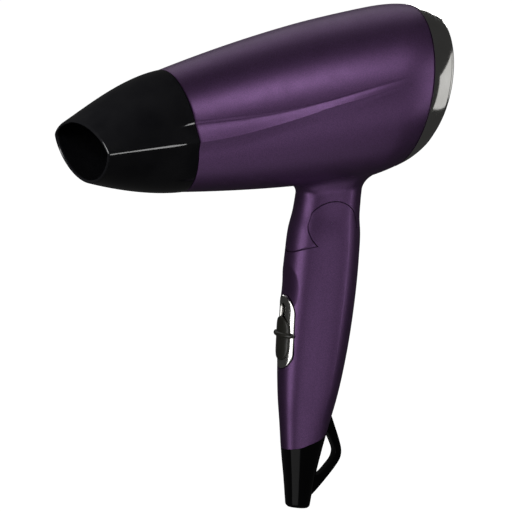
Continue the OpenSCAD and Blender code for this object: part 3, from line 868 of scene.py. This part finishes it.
def wrapped(rings, up=0.0):
    """Rings of (y, z, height), laid on the handle's round front face."""
    bent = []
    for ring in rings:
        r = FACE_R + ring[:, 2]
        turn = ring[:, 0] / FACE_R
        bent.append(np.stack([FACE_R - r * np.cos(turn), r * np.sin(turn), ring[:, 1] + up], 1))
    return bent


def at_height(outline, height):
    return np.column_stack([outline, np.full(len(outline), height)])


def make_plate():
    """Chrome plate with rounded edges and the slot that the switch slides in."""
    rings = [at_height(obround(PLATE_W - 2 * i, PLATE_LEN - 2 * i), h) for i, h in PLATE_EDGE]
    inset = PLATE_EDGE[-1][0]
    rim = obround(PLATE_W - 2 * inset, PLATE_LEN - 2 * inset)
    hole = obround(SLOT_W + 1.0, SLOT_LEN + 1.0) + (0, SLOT_UP)
    rings += [at_height(rim + (hole - rim) * t, 0.0) for t in (0.25, 0.5, 0.75, 1.0)]
    rings += [at_height(obround(SLOT_W + grow, SLOT_LEN + grow) + (0, SLOT_UP), h) for grow, h in SLOT_EDGE]
    plate = loft(wrapped(rings), "plate", SWITCH, closed=True)
    finish_piece(plate, "switch_plate", plate_chrome, "handle", ["switch_bezel"])


def finger_bar():
    """A bar across the pad, bent to its curve, that narrows at its ends."""
    rings = []
    for y in np.linspace(-BAR_WIDE, BAR_WIDE, 41):
        size = max(math.sqrt(1 - (abs(y) / (BAR_WIDE + 0.01)) ** 8), 0.25)
        a = y / FACE_R
        rings.append([
            (FACE_R - (BAR_R + h) * math.cos(a), (BAR_R + h) * math.sin(a), BAR_UP + z)
            for h, z in [(BAR_HIGH * size * math.cos(t), BAR_HALF * size * math.sin(t))
                         for t in np.linspace(0, 2 * math.pi, 32, endpoint=False)]
        ])
    return loft(rings, place=SWITCH)


def make_slider():
    """Thumb pad with a soft edge, its finger bar, the stem through the slot, and a shutter behind it."""
    rings = [at_height(obround(PAD_W - 2 * i, PAD_LEN - 2 * i), h) for i, h in PAD_EDGE]
    pad = loft(wrapped(rings, PAD_UP), "pad", SWITCH)
    add(pad, obround_bar(SLOT_W - 1.0, PAD_LEN - 3.0, -0.8, 3.8, PAD_UP))
    low = (SHUTTER_IN[0], -SHUTTER_W / 2, PAD_UP - SHUTTER_LEN / 2)
    high = (SHUTTER_IN[1], SHUTTER_W / 2, PAD_UP + SHUTTER_LEN / 2)
    add(pad, block(low, high, SWITCH))
    add(pad, finger_bar())
    finish_piece(pad, "switch_thumb", switch_dark, "switch", ["switch_slider"])


# ---- end cap ----

# The hanging loop's outside and inside, as points (behind the hinge, down the grip)
LOOP_OUT = [(14.3, 97.2), (17.2, 103.4), (19.9, 109.4), (21.5, 114.3), (21.2, 118.4), (18.8, 122.8),
            (14.7, 128.4), (10.4, 133.8), (6.4, 138.3)]
LOOP_IN = [(11.6, 104.6), (13.8, 106.6), (16.5, 110.9), (18.1, 114.7), (17.6, 118.3), (15.1, 122.0),
           (12.1, 125.6), (9.8, 127.2)]
LOOP_HALF = 2.6
FOOT_ROUND = 1.6
CAP_WALL = 2.0
CAP_GAP = 0.12
CORD_BUSH_R = 5.15


def rounded(points, count=12):
    """A smooth line through (x, d) points, as (x, z)."""
    at = np.arange(len(points))
    xs = curve(list(zip(at, [p[0] for p in points])))
    ds = curve(list(zip(at, [p[1] for p in points])))
    t = np.linspace(0, len(points) - 1, count * (len(points) - 1) + 1)
    return list(zip(xs(t), -ds(t)))


def hanging_loop():
    made = prism_y([(6, -101.5)] + rounded(LOOP_OUT) + [(3, -139)], -LOOP_HALF, LOOP_HALF, GRIP)
    cut(made, prism_y(rounded(LOOP_IN) + [(7, -127)], -FAR, FAR, GRIP))
    return soften(made, 0.7, 4)


def make_cap():
    foot = GRIP_LEN - FOOT_ROUND
    rings = [grip_ring(d, crease=0.0) for d in steps(84, foot, 1.2)]
    for turn in np.linspace(0, math.pi / 2, 9)[1:]:
        rings.append(grip_ring(foot + FOOT_ROUND * math.sin(turn), FOOT_ROUND * (1 - math.cos(turn)), 0.0))
    cap = loft(rings, "cap", GRIP)
    cut(cap, above_seam(-CAP_GAP))
    add(cap, hanging_loop())
    cut(cap, grip_solid(steps(80, 124, 3.0), CAP_WALL, 0.0))
    cut(cap, rod_z(CORD_BUSH_R, -GRIP_LEN - 1, -GRIP_LEN + 20, (GRIP_SHIFT, 0), GRIP))
    finish_piece(cap, "foot_cap", gloss_black, "handle", ["end_cap"])


# ---- floor and backdrop ----

PALE = (0.96, 0.96, 0.96, 1.0)
FLOOR_R, BACKDROP_R = 6.0, 30.0  # metres
FLOOR_DROP = 0.002  # below the object's lowest point, in metres


def make_floor():
    """A large pale disc under the object, well past the view."""
    low = cad_box[0].z - FLOOR_DROP
    disc = new_object("floor", [(x, y, low) for x, y in circle(FLOOR_R, 96)], [tuple(range(96))])
    n = Nodes("pale_floor")
    n.link(n.ramp(n.noise(3.0), (0.30, 0.30, 0.30), (0.31, 0.31, 0.31)), n.shader.inputs["Base Color"])
    n.set(Roughness=0.9, Emission_Color=PALE, Emission_Strength=1.0)
    disc.data.materials.append(n.material)
    disc.visible_diffuse = False
    disc.visible_glossy = False


def make_backdrop():
    """A pale dome that only the camera sees, so that it doesn't wash out the dark finishes."""
    bpy.ops.mesh.primitive_uv_sphere_add(segments=48, ring_count=24, radius=BACKDROP_R)
    dome = bpy.context.object
    dome.name = "backdrop"
    n = Nodes("pale_backdrop")
    n.set(Base_Color=(0, 0, 0, 1), Specular_IOR_Level=0.0, Emission_Color=PALE, Emission_Strength=1.0)
    dome.data.materials.append(n.material)
    dome.visible_diffuse = False
    dome.visible_glossy = False
    dome.visible_transmission = False
    dome.visible_shadow = False


# ---- light ----

NOZZLE, CAP, RING, PLATE = "nozzle_skin", "foot_cap", "rear_trim", "switch_plate"
MIRRORS = (NOZZLE, CAP, RING)

# Softboxes that face the object: name, azimuth and elevation in degrees, distance, size and power, and
# the pieces that each one misses or is alone to reach
SOFTBOXES = [
    ("key", 14, 45, 1.2, (0.5, 0.4), 2.8, "EXCLUDE", MIRRORS),
    ("fill", -8, -16, 1.3, (1.8, 0.9), 3.5, "EXCLUDE", MIRRORS),
    ("below", -14, -62, 1.3, (1.6, 1.2), 2.6, "EXCLUDE", MIRRORS),
    ("left_panel", -84, 0, 1.3, (0.4, 1.0), 4.0, "EXCLUDE", MIRRORS),
    ("right_fill", 56, 0, 1.3, (0.5, 1.2), 3.4, "EXCLUDE", MIRRORS),
    ("top_fill", 165, 42, 1.4, (1.5, 1.0), 3.2, "EXCLUDE", MIRRORS),
    ("ridge_strip", 25, -12, 1.3, (1.6, 0.6), 34.0, "INCLUDE", (NOZZLE,)),
    ("lip_panel", -92, 34, 1.2, (0.7, 0.7), 17.0, "INCLUDE", (NOZZLE,)),
    ("right_panel", 70, -8, 1.3, (1.5, 1.0), 2.9, "INCLUDE", (RING, PLATE)),
    ("back_panel", 148, 12, 1.3, (0.7, 0.6), 7.0, "INCLUDE", (RING, PLATE)),
    ("plate_strip", -46, 0, 1.3, (0.5, 0.8), 2.0, "INCLUDE", (RING, PLATE)),
    ("side_strip", -66, 10, 1.1, (0.12, 0.8), 1.2, "EXCLUDE", ()),
    ("foot_fill", -50, -10, 1.3, (1.4, 1.0), 2.4, "INCLUDE", (CAP,)),
]
ROOM_LIGHT = 0.035


def direction(azimuth, elevation):
    """From the object towards an azimuth and elevation in degrees, with azimuth 0 at its left side."""
    a, e = math.radians(azimuth), math.radians(elevation)
    return Vector((math.sin(a) * math.cos(e), -math.cos(a) * math.cos(e), math.sin(e)))


def make_softbox(name, azimuth, elevation, distance, size, power):
    data = bpy.data.lights.new(name, "AREA")
    data.shape = "RECTANGLE"
    data.size, data.size_y = size
    data.energy = power
    lamp = bpy.data.objects.new(name, data)
    bpy.context.scene.collection.objects.link(lamp)
    middle = (cad_box[0] + cad_box[1]) / 2
    place = middle + direction(azimuth, elevation) * distance
    lamp.location = place
    lamp.rotation_euler = (middle - place).to_track_quat("-Z", "Y").to_euler()
    return lamp


def make_light():
    world = bpy.data.worlds.new("studio")
    world.use_nodes = True
    world.node_tree.nodes["Background"].inputs["Color"].default_value = (1.0, 1.0, 1.0, 1.0)
    world.node_tree.nodes["Background"].inputs["Strength"].default_value = ROOM_LIGHT
    bpy.context.scene.world = world
    bpy.context.scene.view_settings.view_transform = "Standard"
    for *box, state, pieces in SOFTBOXES:
        lamp = make_softbox(*box)
        if not pieces:
            continue
        group = bpy.data.collections.new(f"{lamp.name}_pieces")
        for piece in pieces:
            group.objects.link(bpy.data.objects[piece])
        lamp.light_linking.receiver_collection = group
        for member in group.collection_objects:
            member.light_linking.link_state = state


# ---- camera ----

CAMERA_AZIMUTH, CAMERA_ELEVATION, CAMERA_ROLL = -25, 13, -5.5  # degrees
CAMERA_DISTANCE = 10.0  # metres
VIEW_WIDTH = 0.256  # metres across the picture, at the object
SENSOR = 36.0
HINGE_RIGHT, HINGE_UP = 0.03325, 0.0165  # metres from the middle of the picture to the hinge


def make_camera():
    back = direction(CAMERA_AZIMUTH, CAMERA_ELEVATION)
    roll = Matrix.Rotation(math.radians(CAMERA_ROLL), 3, "Z").to_quaternion()
    turn = back.to_track_quat("Z", "Y") @ roll
    data = bpy.data.cameras.new("camera")
    data.sensor_width = SENSOR
    data.lens = SENSOR * CAMERA_DISTANCE / VIEW_WIDTH
    camera = bpy.data.objects.new("camera", data)
    bpy.context.scene.collection.objects.link(camera)
    aim = HINGE * MM - turn @ Vector((HINGE_RIGHT, HINGE_UP, 0))
    camera.rotation_mode = "QUATERNION"
    camera.rotation_quaternion = turn
    camera.location = aim + back * CAMERA_DISTANCE
    bpy.context.scene.camera = camera


make_camera()
finish_cad_nodes()
make_barrel()
make_trim_ring()
make_nozzle()
make_handle()
make_plate()
make_slider()
make_cap()
make_floor()
make_backdrop()
make_light()
